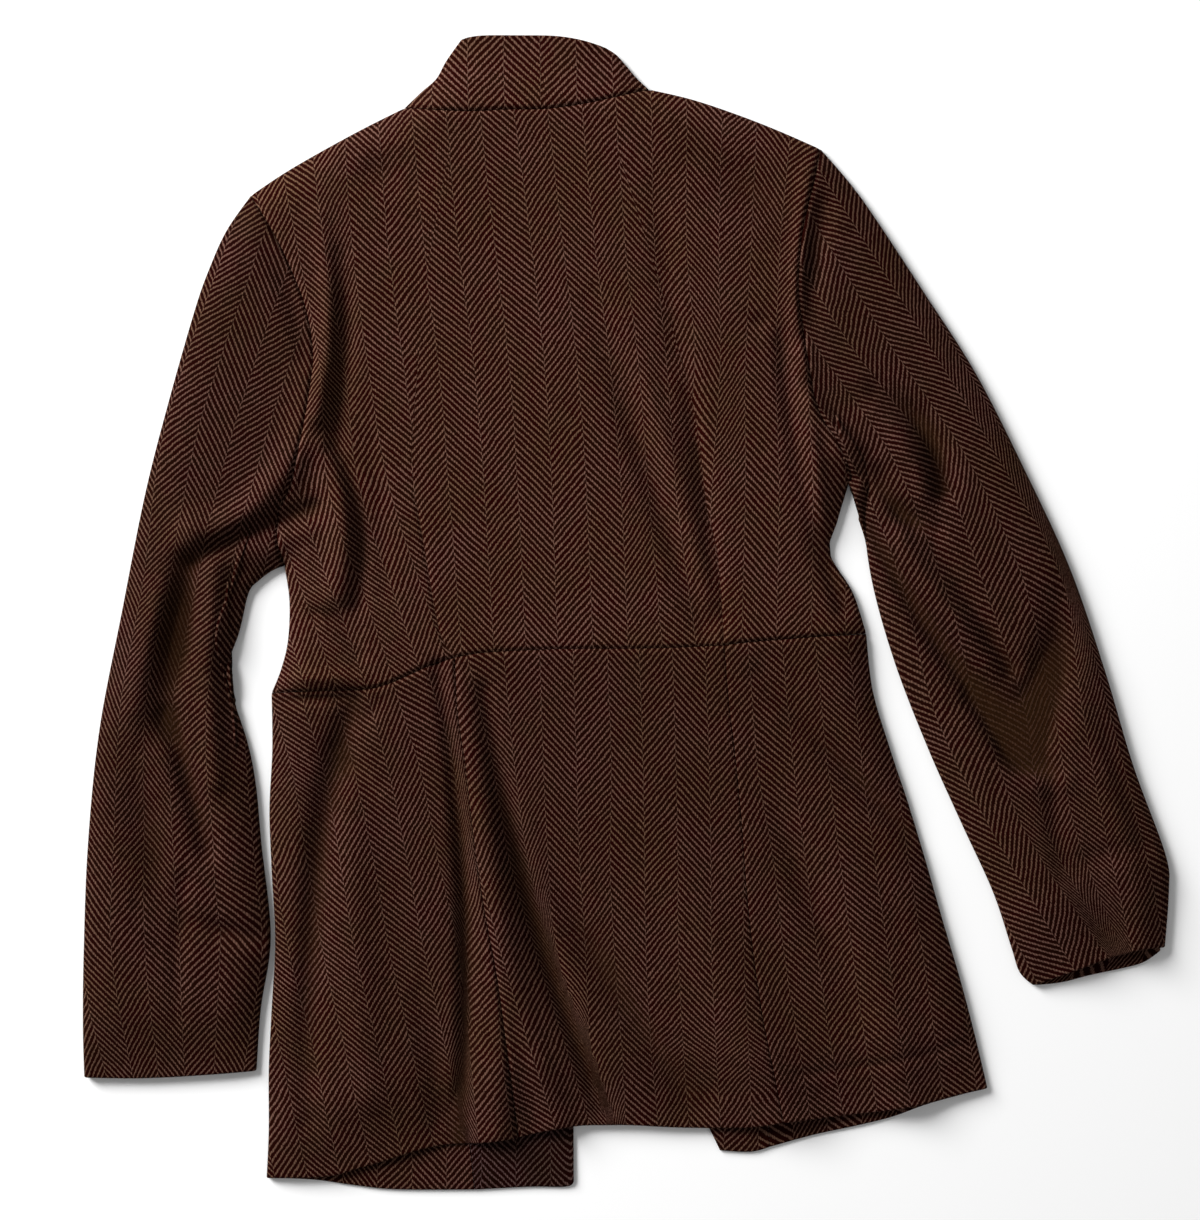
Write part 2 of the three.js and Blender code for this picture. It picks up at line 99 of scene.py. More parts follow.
# %% Lamps
def lamp(name, place, size, power):
    """A square soft lamp that faces the middle of the cloth"""
    data = bpy.data.lights.new(name, "AREA")
    data.size = size
    data.energy = power
    holder = bpy.data.objects.new(name, data)
    holder.location = place
    aim = holder.location.copy()
    aim.negate()
    holder.rotation_mode = "QUATERNION"
    holder.rotation_quaternion = aim.to_track_quat("-Z", "Y")
    bpy.context.scene.collection.objects.link(holder)


lamp("key_lamp", place=(-3.1, 2.4, 1.9), size=2.2, power=430)
lamp("fill_lamp", place=(1.6, -0.6, 1.9), size=2.0, power=4)

SKY_STRENGTH = 0.27

sky = bpy.data.worlds.new("sky")
sky.use_nodes = True
sky.node_tree.nodes["Background"].inputs["Color"].default_value = (1, 1, 1, 1)
sky.node_tree.nodes["Background"].inputs["Strength"].default_value = SKY_STRENGTH
bpy.context.scene.world = sky

# %% [markdown]
# ## The pattern pieces
# A pattern cutter describes a garment by its corners and by the seams between them, and so does
# this script. Every seam is a smooth line through a few points. Both pieces that meet at a seam
# use the same line, so they can't drift apart.

# %% Smooth lines
STEPS_BETWEEN_POINTS = 16


def edge(*points):
    """A smooth line through the points, in many short steps"""
    p = np.array(points, dtype=float)
    last = len(p) - 1
    share = np.linspace(0, 1, STEPS_BETWEEN_POINTS, endpoint=False)[:, None]
    runs = []
    for i in range(last):
        before, here, there, after = p[max(i - 1, 0)], p[i], p[i + 1], p[min(i + 2, last)]
        leaving, arriving = (there - before) / 2, (after - here) / 2
        runs.append((2 * here - 2 * there + leaving + arriving) * share**3
                    + (3 * there - 3 * here - 2 * leaving - arriving) * share**2
                    + leaving * share + here)
    return np.vstack([*runs, p[-1:]])


def distances(line):
    """How far along the line each of its points lies"""
    return np.concatenate([[0], np.cumsum(np.linalg.norm(np.diff(line, axis=0), axis=1))])


def along(line, shares):
    """Points at these shares of the line's length"""
    gone = distances(line)
    return np.stack([np.interp(np.asarray(shares) * gone[-1], gone, line[:, k]) for k in (0, 1)], axis=1)


def length(line):
    return distances(line)[-1]


def sew(side, seams):
    """Adds seams to a side, each given as a corner, the points after it and another corner"""
    for name, (start, *points, end) in seams.items():
        side[name] = edge(side[start], *points, side[end])


# %% Corners and seams of the left side
left = {
    "neck": (-155, 354), "shoulder": (-263, 292.5), "underarm": (-239.5, 33), "waist": (-248.5, -56),
    "hem": (-252, -396), "dart_waist": (-119.5, -31), "dart_hem": (-75.5, -367),
    "collar": (-115, 402.5), "cuff_out": (-379.5, -325.5), "cuff_in": (-259, -320.5),
    "front_neck": (-79, 298), "front_waist": (-61, -27), "front_hem": (-36.5, -399),
    "front_seam_waist": (-150, -42), "front_seam_hem": (-106, -404.5), "collar_front": (-70, 390),
}
sew(left, {
    "shoulder_seam": ("neck", (-184, 339.5), (-213.5, 323.5), (-240, 308), "shoulder"),
    "armhole": ("shoulder", (-246, 265), (-234, 240), (-223, 210), (-218.5, 177), (-222, 146),
        (-228, 114), (-234.5, 88), (-243, 70), (-243.5, 51), "underarm"),
    "bodice_side": ("underarm", (-236, 9), (-237, -19), (-242, -40), "waist"),
    "peplum_side": ("waist", (-248, -96), (-250, -138), (-248.5, -180), (-246, -229),
        (-248.5, -278), (-250.5, -320), (-250.5, -362), "hem"),
    "princess": ("dart_waist", (-117.5, -71), (-112.5, -104), (-108.5, -139), (-104, -174),
        (-98, -211), (-90, -253), (-82.5, -309), "dart_hem"),
    "sleeve_outer": ("shoulder", (-280, 268), (-292.5, 240), (-302.5, 211), (-321, 146), (-337, 83),
        (-353, 2), (-369, -82), (-377, -162), (-380, -239), (-380.5, -290), "cuff_out"),
    "sleeve_inner": ("underarm", (-248, 29.5), (-257.5, 22.5), (-264.5, 14), (-271, -13),
        (-279.5, -38), (-277, -55), (-265.5, -90), (-259.5, -120), (-255.5, -162), (-249, -227),
        (-256, -278), "cuff_in"),
    "cuff": ("cuff_out", (-347, -326), (-319, -325), (-290, -323), "cuff_in"),
    "collar_fold": ("neck", (-143, 365.5), (-133, 374.5), (-126, 387), "collar"),
    "collar_top": ("collar", "collar_front"),
    "collar_end": ("front_neck", "collar_front"),
    "front_neckline": ("neck", (-147, 332.5), (-130, 313.5), (-106, 302), "front_neck"),
    "front_edge": ("front_neck", (-73, 149), "front_waist"),
    "front_edge_low": ("front_waist", (-46, -166), (-38, -271), "front_hem"),
    "front_seam": ("front_seam_waist", (-128, -200), "front_seam_hem"),
    "front_waist_side": ("waist", (-198, -53), "front_seam_waist"),
    "front_waist_centre": ("front_seam_waist", (-104, -31), "front_waist"),
    "front_hem_side": ("hem", (-218, -397.5), (-193, -401), (-161.5, -404.3), "front_seam_hem"),
    "front_hem_centre": ("front_seam_hem", (-67, -402.5), (-42, -402.5), "front_hem"),
})
left["cuff_under"] = left["cuff"]
print("left sleeve:", round(length(left["sleeve_outer"])), "mm from shoulder to cuff")

# %% Corners and seams of the right side
right = {
    "neck": (16, 367), "shoulder": (136.5, 325), "underarm": (157.5, 95), "waist": (168.5, -14.5),
    "hem": (253.5, -333), "dart_waist": (68.5, -22.5), "dart_hem": (110, -356),
    "collar": (-14, 396), "cuff_out": (377.5, -234.5), "cuff_in": (285.5, -261),
    "front_neck": (-73, 298), "front_waist": (-46, -26), "front_hem": (66, -377),
    "front_seam_waist": (70, -22), "front_seam_hem": (101, -374.5), "collar_front": (-64, 390),
}
sew(right, {
    "shoulder_seam": ("neck", (46, 360), (77.5, 349.5), (107, 338), "shoulder"),
    "armhole": ("shoulder", (129.5, 296), (124, 271.5), (121, 247), (120.5, 219), (124.5, 191),
        (129, 163), (134.5, 140), (145.5, 122), (154, 107), "underarm"),
    "bodice_side": ("underarm", (148.5, 65), (143, 42), (159, 14.5), "waist"),
    "peplum_side": ("waist", (173, -54), (185, -94.5), (197.5, -132), (210, -173), (222, -215),
        (234.5, -257), (245, -297), "hem"),
    "princess": ("dart_waist", (71.5, -61), (76.5, -103), (80.5, -145), (83.5, -187), (88, -232),
        (95, -281), (102, -316), "dart_hem"),
    "sleeve_outer": ("shoulder", (155.5, 303), (172, 280.5), (208.5, 225), (245, 168), (279.5, 100),
        (311, 31.5), (335.5, -40), (355.5, -107), (378, -169), (380.4, -194), "cuff_out"),
    "sleeve_inner": ("underarm", (165, 96), (170, 91), (167, 65), (173, 19.5), (189, -36.5),
        (211.5, -94.5), (234.5, -146), (257, -195), (270, -234), (276, -252), "cuff_in"),
    "cuff": ("cuff_out", (369, -234.5), (356, -236), (336, -242), (318, -248.5), (301, -255),
        "cuff_in"),
    "cuff_under": ("cuff_out", (370.5, -240.5), (361, -246), (344.5, -250), (325, -254),
        (305, -259), "cuff_in"),
    "collar_fold": ("neck", (12, 370.5), (6.5, 376), (-5.5, 390), "collar"),
    "collar_top": ("collar", "collar_front"),
    "collar_end": ("front_neck", "collar_front"),
    "front_neckline": ("neck", (11, 342), (-10, 318.5), (-39, 304), "front_neck"),
    "front_edge": ("front_neck", (-62, 149), "front_waist"),
    "front_edge_low": ("front_waist", (-18, -166), (20, -278), "front_hem"),
    "front_seam": ("front_seam_waist", (85, -200), "front_seam_hem"),
    "front_waist_side": ("waist", (120, -18), "front_seam_waist"),
    "front_waist_centre": ("front_seam_waist", (12, -24), "front_waist"),
    "front_hem_side": ("hem", (213, -344), (188, -353), (164.5, -359), (132, -366),
        "front_seam_hem"),
    "front_hem_centre": ("front_seam_hem", (87.5, -378), "front_hem"),
})
print("right sleeve:", round(length(right["sleeve_outer"])), "mm from shoulder to cuff")

# %% Seams across the back, and its two darts
NECK_DARTS = (0.22, 0.8)        # where the lines of the darts would reach the neck seam

neck_seam = edge(left["neck"], (-133, 351.5), (-109, 350.5), (-84, 351.5), (-57, 352), (-31, 355.5),
                 (-8, 360.5), right["neck"])
collar_top_edge = edge(left["collar"], (-102, 404.5), (-74, 404.5), (-50, 404), (-31, 401),
                       right["collar"])
waist_left = edge(left["waist"], (-228, -55), (-204, -54), (-180.5, -53), (-166.5, -49.5),
                  (-152.5, -43.5), (-137, -36.5), left["dart_waist"])
waist_centre = edge(left["dart_waist"], (-98.5, -27.5), (-46, -25), (17, -24.5), right["dart_waist"])
waist_right = edge(right["dart_waist"], (83.5, -20.5), (125.5, -17), right["waist"])
hem_left = edge(left["hem"], (-228, -395.5), (-205, -394), (-186, -388.5), (-166.5, -383),
                (-148, -377), (-130, -373), (-102, -371), left["dart_hem"])
hem_centre = edge(left["dart_hem"], (-53, -362), (-33.5, -359), (-0.5, -358.5), (31, -360),
                  (59, -360.5), (85.5, -360), right["dart_hem"])
hem_right = edge(right["dart_hem"], (136, -353.5), (164, -350.5), (192, -346.5), (213, -342),
                 (232.5, -337.5), right["hem"])
left_dart = edge((-150.5, 99), (-145, 70), (-136.5, 20), (-129.5, -15), left["dart_waist"])
right_dart = edge((47, 144), (56, 75.5), (64, 38.5), right["dart_waist"])
left_dart_line = edge(along(neck_seam, [NECK_DARTS[0]])[0], (-138, 240), (-150.5, 99), (-145, 70),
                      (-136.5, 20), (-129.5, -15), left["dart_waist"])
right_dart_line = edge(along(neck_seam, [NECK_DARTS[1]])[0], (14, 260), (47, 144), (56, 75.5),
                       (64, 38.5), right["dart_waist"])
print("darts:", round(length(left_dart)), "and", round(length(right_dart)), "mm long")

# %% [markdown]
# ## How high the cloth lies
# Cloth laid over cloth is never flat. It is pinned down where it is sewn or folded at the outline,
# rises a few millimetres within a hand's breadth, and carries soft folds. A simulation would give
# some folds, but not these, so each one is given: a row below is one ridge or trough on a
# bent line, with its rise at the start, the middle and the end, and its half width.

# %% Heights of the plies
CLOTH = 2                       # the wall of cloth that the solids allow for
BED = CLOTH + 0.3               # lowest place for the underside of the upper ply
EDGE = BED + CLOTH              # top of the upper ply at a closed edge
LOFT = 12                       # height of the upper ply away from every edge, so troughs have room
OPEN_LOFT = 6.2                 # and at a hem, a cuff or the top of the collar
OPEN_FALL = 55                  # it rises from one to the other over this distance
EDGE_ROUND = 26                 # and from a closed edge over this one
SLEEVE_FOLD = 3.4               # radius of the fold along a sleeve
SLEEVE_FOLD_START = 0.15        # share of the sleeve in which that fold opens
FOLD_STEPS = 14
CLOSED_SAMPLES = 50
OPEN_SAMPLES = 30

# %% Folds: from, via, to, (rise at start, middle, end), half width
LARGE_FOLDS = [
    # left shoulder: the ridge beside the armhole, and the troughs on both sides of it
    ((-214, 277), (-199, 208), (-214, 137), (2, 5, 5), 7),
    ((-199, 251), (-193, 194), (-203, 124), (-2, -5, -4), 7),
    ((-252, 262), (-229, 218), (-224, 178), (-1, -3, -2), 7),
    # pouch of cloth under the left arm
    ((-219, 163), (-223, 78), (-298, 54), (4, 8, 6), 11),
    ((-302, 37), (-264, 58), (-217, 74), (-4, -5.5, -5), 6),
    ((-212, 115), (-186, 69), (-202, 14), (5, 8, 5), 11),
    ((-202, 115), (-177, 70), (-188, 6), (-4, -6, -4), 6),
    ((-217, -1), (-199, 0), (-186, -29), (-3, -4, -3), 6),
    # back bodice
    ((-24, 220), (12, 106), (54, -8), (-1, -4.5, -3), 10),
    ((2, 202), (32, 106), (57, 10), (1, 3, 1.5), 8),
    ((37, 202), (50, 113), (66, -3), (-1, -4, -2.5), 7),
    ((22, 303), (28, 233), (34, 181), (-1, -2, -2), 9),
    ((-179, 119), (-170, 58), (-167, 14), (-1, -2, -1), 8),
    ((50, 318), (90, 300), (116, 268), (-2, -5, -3), 17),
    ((-190, 318), (-172, 308), (-150, 298), (-2, -4.5, -2), 12),
    # right armhole and side
    ((127, 307), (120, 251), (118, 198), (2, 3, 3), 6),
    ((139, 286), (132, 246), (129, 207), (-3, -5, -2), 7),
    ((110, 194), (116, 96), (153, 4), (-4, -3, -5), 7),
    ((122, 181), (129, 119), (139, 41), (3, 4, 3), 7),
    # waist at the left, where the bodice droops over its seam
    ((-240, -45), (-212, -45), (-182, -47), (4, 4, 1), 5),
    ((-240, -60), (-212, -61), (-186, -58), (-5, -5, -2), 4),
    # peplum: the side panel, the band that swallows cloth at its seam, and the long crease
    ((-191, -69), (-225, -163), (-222, -353), (-6, -7, -4), 11),
    ((-193, -117), (-190, -204), (-180, -336), (1, 4, 3), 14),
    ((-202, -95), (-190, -108), (-179, -121), (-2, -4, -2), 9),
    ((-142, -270), (-130, -320), (-126, -360), (-2, -5, -4), 13),
    ((-131, -38), (-102, -186), (-116, -373), (-4, -7.5, -7), 6),
    ((-116, -51), (-86, -202), (-88, -362), (2, 4, 7), 13),
    ((-110, -60), (-94, -215), (-48, -355), (2, 6, 5), 12),
    ((-99, -54), (-79, -201), (-15, -344), (-3, -9, -7), 7),
    ((-60, -160), (-24, -246), (48, -338), (-1, -6, -5), 14),
    ((20, -130), (66, -250), (112, -358), (1, 5, 6), 24),
    ((94, -43), (170, -126), (203, -156), (-2, -6, -5), 9),
    ((94, -108), (129, -204), (164, -274), (-1, -4, -2), 12),
    ((125, -90), (165, -215), (198, -345), (0, 3, 5), 20),
    # left sleeve
    ((-304, 60), (-330, -3), (-343, -64), (4, 5, 3), 11),
    ((-308, 33), (-312, -12), (-325, -80), (-8, -12, -4), 12),
    ((-319, -73), (-304, -117), (-293, -165), (-8, -7, -5), 8),
    ((-338, -100), (-330, -170), (-322, -230), (-2, -4, -2), 12),
    ((-309, -187), (-313, -222), (-313, -283), (-3, -3, -1), 7),
    ((-287, 32), (-290, -29), (-287, -117), (4, 6, 4), 9),
    ((-302, -217), (-278, -224), (-254, -229), (-3, -5, -4), 8),
    ((-352, -104), (-344, -143), (-331, -169), (-1, -2.5, -1), 16),
    # head and underarm of the right sleeve
    ((129, 146), (146, 124), (168, 104), (3, 5, 4), 7),
    ((127, 159), (148, 141), (171, 115), (-2, -3, -2), 6),
    ((174, 154), (221, 139), (221, 86), (-3, -9, -8), 8),
    ((172, 137), (197, 119), (208, 84), (3, 7, 4), 9),
    ((177, 91), (194, 62), (216, 58), (-5, -9, -5), 7),
    # long folds down the right sleeve, and the hollow at its elbow
    ((172, 58), (202, -8), (278, -91), (-6, -8, -10), 9),
    ((192, 49), (219, 1), (278, -64), (4, 6, 1), 8),
    ((216, 45), (247, 1), (269, -38), (-2, -4, -4), 6),
    ((306, 8), (300, -47), (280, -98), (-4, -11, -11), 15),
    ((254, -24), (273, -60), (276, -96), (-2, -6, -6), 18),
    ((241, -60), (273, -99), (299, -110), (-3, -7, -4), 7),
    ((234, -82), (273, -126), (304, -117), (2, 5, 3), 9),
    ((297, -117), (299, -152), (308, -182), (-3, -3, -1), 8),
    ((304, -176), (330, -171), (361, -161), (-1, -2.5, -1), 8),
    ((326, -56), (349, -117), (363, -161), (-1, -3.5, -2), 8),
    ((262, -120), (290, -180), (322, -246), (1, 3, 4), 22),
    ((330, -120), (352, -180), (362, -236), (2, 4, 7), 18),
]
SMALL_FOLDS = [
    # creases that run into the left underarm
    ((-276, 22), (-260, 34), (-243, 36), (-0.5, -1.8, -1), 4),
    ((-266, 20), (-246, 50), (-222, 56), (1, 2, 1), 5),
    ((-343, -182), (-341, -205), (-338, -226), (0, -1.2, 0), 5),
    # knot of cloth at the right underarm
    ((176, 96), (188, 84), (198, 66), (0, 1.6, 0), 5),
    ((199, -203), (212, -224), (226, -246), (0, -1.3, -0.8), 5),
    # small hollows in the back, at the left of the waist and over the hem
    ((83, 205), (94, 201), (106, 205), (-1, -2.5, -1), 7),
    ((-171, -61), (-178, -71), (-186, -82), (-1, -2, 0), 5),
    ((120, -322), (181, -317), (243, -299), (-1, -1.5, -1), 3),
]
print(len(LARGE_FOLDS), "large folds and", len(SMALL_FOLDS), "small ones")


# %% Distance from places to a line
def nearest(places, line):
    """For each place, its distance to the line and how far along the line that is, from 0 to 1"""
    start, step = line[:-1], np.diff(line, axis=0)
    offset = places[:, None] - start[None]
    share = np.clip((offset * step).sum(2) / np.maximum((step**2).sum(1), 1e-9), 0, 1)
    gaps = np.linalg.norm(offset - share[..., None] * step, axis=2)
    best = gaps.argmin(axis=1)
    rows = np.arange(len(places))
    return gaps[rows, best], (best + share[rows, best]) / len(step)


def smoothstep(share):
    share = np.clip(share, 0, 1)
    return share * share * (3 - 2 * share)


def fold_line(start, via, end):
    """A bent line in short steps"""
    t = np.linspace(0, 1, FOLD_STEPS + 1)[:, None]
    return (1 - t)**2 * np.array(start) + 2 * t * (1 - t) * np.array(via) + t**2 * np.array(end)


# %% Height of the upper ply
closed_edges = [along(side[name], np.linspace(0, 1, CLOSED_SAMPLES))
                for side in (left, right) for name in
                ("shoulder_seam", "bodice_side", "peplum_side", "sleeve_outer", "sleeve_inner",
                 "collar_fold")]
open_edges = [along(line, np.linspace(0, 1, OPEN_SAMPLES)) for line in
              (hem_left, hem_centre, hem_right, collar_top_edge, left["cuff"], right["cuff"])]


def folds(places):
    """How far the folds lift the cloth at each place, and how far the troughs alone sink it"""
    lift, sunk = np.zeros(len(places)), np.zeros(len(places))
    for start, via, end, rise, width in LARGE_FOLDS + SMALL_FOLDS:
        distance, way = nearest(places, fold_line(start, via, end))
        first = rise[0] + (rise[1] - rise[0]) * smoothstep(2 * way)
        second = rise[1] + (rise[2] - rise[1]) * smoothstep(2 * way - 1)
        here = np.where(way < 0.5, first, second) * np.exp(-(distance / width)**2)
        lift, sunk = lift + here, sunk + np.maximum(0, -here)
    return lift, sunk


def height(plan, edge_height=EDGE):
    """Top of the upper ply at each place of a plan"""
    places = plan.reshape(-1, 2)
    away = np.min([nearest(places, line)[0] for line in closed_edges], axis=0)
    share = np.minimum(1, away / EDGE_ROUND)
    inside = np.min([nearest(places, line)[0] for line in open_edges], axis=0)
    loft = OPEN_LOFT + (LOFT - OPEN_LOFT) * smoothstep(inside / OPEN_FALL)
    edge_heights = np.broadcast_to(edge_height, plan.shape[:-1]).reshape(-1)
    lifted = loft - edge_heights + folds(places)[0]
    top = np.maximum(EDGE, edge_heights + lifted * share * (2 - share))
    return top.reshape(plan.shape[:-1])


# %% [markdown]
# ## Seams that sink and edges that roll
# A sewn seam pulls the cloth down into a groove, and a folded edge rolls round to the ply below.
# Both are small next to the folds, but they are what makes flat shapes read as sewn cloth.

# %% Grooves and rolls
SEAM_DEPTH = 1.8
SEAM_WIDTH = 1.6
ROLL = 2.1                      # how far an outline edge turns down to meet the other ply
DART_FADE = 40                  # a dart sinks in fully this far from its tip
DART_PULL = 0.5                 # and then half as deep as a seam

# Each seam, and how hard it pulls
sewn_seams = [(neck_seam, 1), (waist_left, 1), (waist_centre, 0.8), (waist_right, 1),
              (left["armhole"], 1), (right["armhole"], 1), (left["princess"], 1),
              (right["princess"], 0.3)]
outline_edges = [side[name] for side in (left, right) for name in
                 ("shoulder_seam", "bodice_side", "peplum_side", "sleeve_inner")]


def groove(plan):
    """How far the cloth sinks at its seams and darts"""
    places = plan.reshape(-1, 2)
    sunk = np.zeros(len(places))
    for line, pull in sewn_seams:
        sunk = np.maximum(sunk, pull * np.exp(-(nearest(places, line)[0] / SEAM_WIDTH)**2))
    for line in (left_dart, right_dart):
        gap, way = nearest(places, line)
        depth = DART_PULL * smoothstep(way * length(line) / DART_FADE)
        sunk = np.maximum(sunk, depth * np.exp(-(gap / SEAM_WIDTH)**2))
    return (SEAM_DEPTH * sunk).reshape(plan.shape[:-1])


def roll(plan, lines=outline_edges):
    """How far an outline edge turns towards the other ply"""
    places = plan.reshape(-1, 2)
    gap = np.min([nearest(places, line)[0] for line in lines], axis=0)
    inside = np.clip(1 - gap / ROLL, 0, 1)
    return (ROLL * (1 - np.sqrt(1 - inside**2))).reshape(plan.shape[:-1])


# %% [markdown]
# ## The plan of a piece
# Between four edges that share their corners, a Coons patch spreads rows and columns evenly: it
# adds the blend of top and bottom to the blend of the two sides, and takes the corners away once.
# The lines of the plan stand close together at a seam, where the cloth bends most.

# %% Stations and plans
CELL = 2.8                      # size of one face of visible cloth
HIDDEN_CELL = 9                 # and of cloth that lies underneath
SEAM_GAP = 0.15                 # each piece stops this far short of the seam line
SEWN = (SEAM_GAP, 0.7, 1.3, 2.1, 3.2, 4.6)
HEM_RADIUS = 1.15
OPEN = (HEM_RADIUS, 3)


def stations(size, cell, start=SEWN, end=SEWN):
    """Shares of an edge's length, close together at both of its ends"""
    steps = max(2, round((size - start[-1] - end[-1]) / cell))
    middle = np.linspace(start[-1], size - end[-1], steps + 1)
    return np.concatenate([start[:-1], middle, size - np.array(end[:-1])[::-1]]) / size


def fill(top, bottom, start, end, across, down):
    """The plan between a top and a bottom line and two sides, given as one point for each row"""
    u, v = across[None, :, None], down[:, None, None]
    ends = (1 - v) * along(top, across)[None] + v * along(bottom, across)[None]
    sides = (1 - u) * start[:, None] + u * end[:, None]
    corners = ((1 - v) * ((1 - u) * top[0] + u * top[-1])
               + v * ((1 - u) * bottom[0] + u * bottom[-1]))
    return ends + sides - corners


def panel(top, bottom, start, end, cell, sides=(SEWN, SEWN), first=SEWN, last=OPEN):
    """The plan of a four-sided piece"""
    across = stations((length(top) + length(bottom)) / 2, cell, *sides)
    down = stations((length(start) + length(end)) / 2, cell, first, last)
    return fill(top, bottom, along(start, down), along(end, down), across, down)


# %% [markdown]
# ## The grain
# Herringbone is counted in wales: columns a thumb's width across, whose slanting lines meet in a
# peak at one edge and in a valley at the next. Pressing and wearing bend the wales, so each piece
# has a short table: at a few heights, where some numbered wales lie. Even numbers are valleys and
# odd ones are peaks. Two numbers go with each point of the cloth as its UV: its wale, and how far
# down the wales it lies.

# %% Wales of each piece: heights, and the places of numbered wales at those heights
BODICE_ROWS = (338, 254, 170, 86, 2)
LEFT_OF_DART = (BODICE_ROWS, {
    -7: (-246, -229, -213, -207, -179), -5: (-197, -191, -180, -165, -137),
    -4: (-173, -166, -155, -142, -117)})
BETWEEN_DARTS = (BODICE_ROWS, {
    -4: (-173, -166, -155, -148, -140), -2: (-125, -117, -106, -99, -94),
    0: (-77, -66, -57, -52, -49), 2: (-30, -22, -11, -4, 0),
    4: (18, 20, 28, 34, 45), 7: (89, 87, 92, 102, 114)})
RIGHT_OF_DART = (BODICE_ROWS, {
    4: (18, 20, 30, 13, 12), 7: (91, 87, 83, 83, 81), 9: (139, 127, 126, 130, 129)})
PEPLUM_ROWS = (-47, -110, -173, -236, -299, -341)
PEPLUM_LEFT = (PEPLUM_ROWS, {
    -3: (-253, -233, -223, -212, -197, -188), -1: (-207, -190, -176, -165, -151, -142),
    0: (-184, -166, -153, -141, -127, -118), 1: (-164, -144, -131, -117, -114.5, -115.5),
    2: (-137, -120, -116, -113, -111, -107), 3: (-120, -111, -106, -90, -88, -83)})
PEPLUM_CENTRE = (PEPLUM_ROWS, {
    -6: (-130, -120, -104, -87, -68, -55), -5: (-107, -92, -81, -63, -43, -30),
    -4: (-84, -78, -69, -53, -31, -18), -3: (-60, -58, -55, -50, -29, -16),
    -2: (-37, -35, -33, -29, -26, -14), -1: (-13, -11, -12, -9, -4, -2),
    0: (9, 11, 12, 13, 16, 20), 3: (78, 80, 81, 81, 84, 86)})
PEPLUM_RIGHT = (PEPLUM_ROWS, {
    1: (87, 92, 103, 110, 120, 127), 2: (111, 117, 125, 133, 142, 150),
    4: (158, 165, 173, 182, 191, 198)})
SLEEVE_LEFT = ((233, 128, 23, -68, -173, -236, -320), {
    -2: (-288, -323, -337, -353, -358, -359, -346), 0: (-239, -274, -300, -318, -316, -312, -309),
    2: (-190, -225, -255, -267, -260, -255, -268)})
SLEEVE_RIGHT = ((275, 191, 107, 23, -68, -152, -236), {
    -4: (52, 104, 157, 192, 215, 255, 305), -3: (78, 129, 186, 220, 247, 278, 334),
    -2: (104, 153, 216, 248, 279, 293, 340), 0: (156, 209, 260, 305, 318, 333, 352),
    1: (178, 226, 273, 310, 337, 358, 377)})
COLLAR = ((400, 345), {0: (-111, -110), 4: (-10, -9)})
FRONTS = ((340, -400), {0: (-150, -150), 4: (-53, -53)})
WALE_OVERRUN = 200              # wale lines are carried on straight this far past their ends
WALE_SQUEEZE = 0.15             # where a deep fold swallows cloth, its wales still keep this apart


# %% Wale number and distance down the wales
def wale_line(heights, places):
    """A smooth wale from the top down, carried on straight at both ends"""
    line = edge(*zip(places, heights))
    before = line[0] + (line[0] - line[1]) / np.linalg.norm(line[0] - line[1]) * WALE_OVERRUN
    after = line[-1] + (line[-1] - line[-2]) / np.linalg.norm(line[-1] - line[-2]) * WALE_OVERRUN
    return np.vstack([before, line, after])


def at_height(places, line, values):
    """Values along a wale, read off at the height of each place"""
    return np.interp(-places[:, 1], -line[:, 1], values)


def grain(plan, table, lead=None):
    """Wale number, and distance down the wales, at each place of a plan"""
    heights, wales = table
    places = plan.reshape(-1, 2)
    numbers = sorted(wales)
    lines = [wale_line(heights, wales[number]) for number in numbers]
    apart = WALE_SQUEEZE * np.arange(len(lines))
    x = np.stack([at_height(places, line, line[:, 0]) for line in lines], axis=1)
    x = np.maximum.accumulate(x + apart, axis=1)
    leans = np.stack([at_height(places, line, np.gradient(line[:, 0], distances(line)))
                      for line in lines], axis=1)
    between = np.clip((places[:, :1] > x).sum(axis=1) - 1, 0, len(numbers) - 2)
    rows = np.arange(len(places))
    low, high = x[rows, between], x[rows, between + 1]
    share = (places[:, 0] - low) / (high - low)
    first, second = np.take(numbers, between), np.take(numbers, between + 1)
    inside = np.clip(share, 0, 1)
    lean = leans[rows, between] * (1 - inside) + leans[rows, between + 1] * inside
    lead = lines[len(lines) // 2] if lead is None else lead
    gone = distances(lead)
    sideways = places[:, 0] - at_height(places, lead, lead[:, 0])
    lead_lean = at_height(places, lead, np.gradient(lead[:, 0], gone))
    run = at_height(places, lead, gone) + sideways * (lean + lead_lean) / 2
    return np.stack([first + (second - first) * share, run], axis=1).reshape(plan.shape)


# %% [markdown]
# ## Shader maths in plain Python
# A wire is one number that varies over the cloth. Wrapping it in a small class lets the pattern be
# written as a formula: each operator adds the Math node that does it.

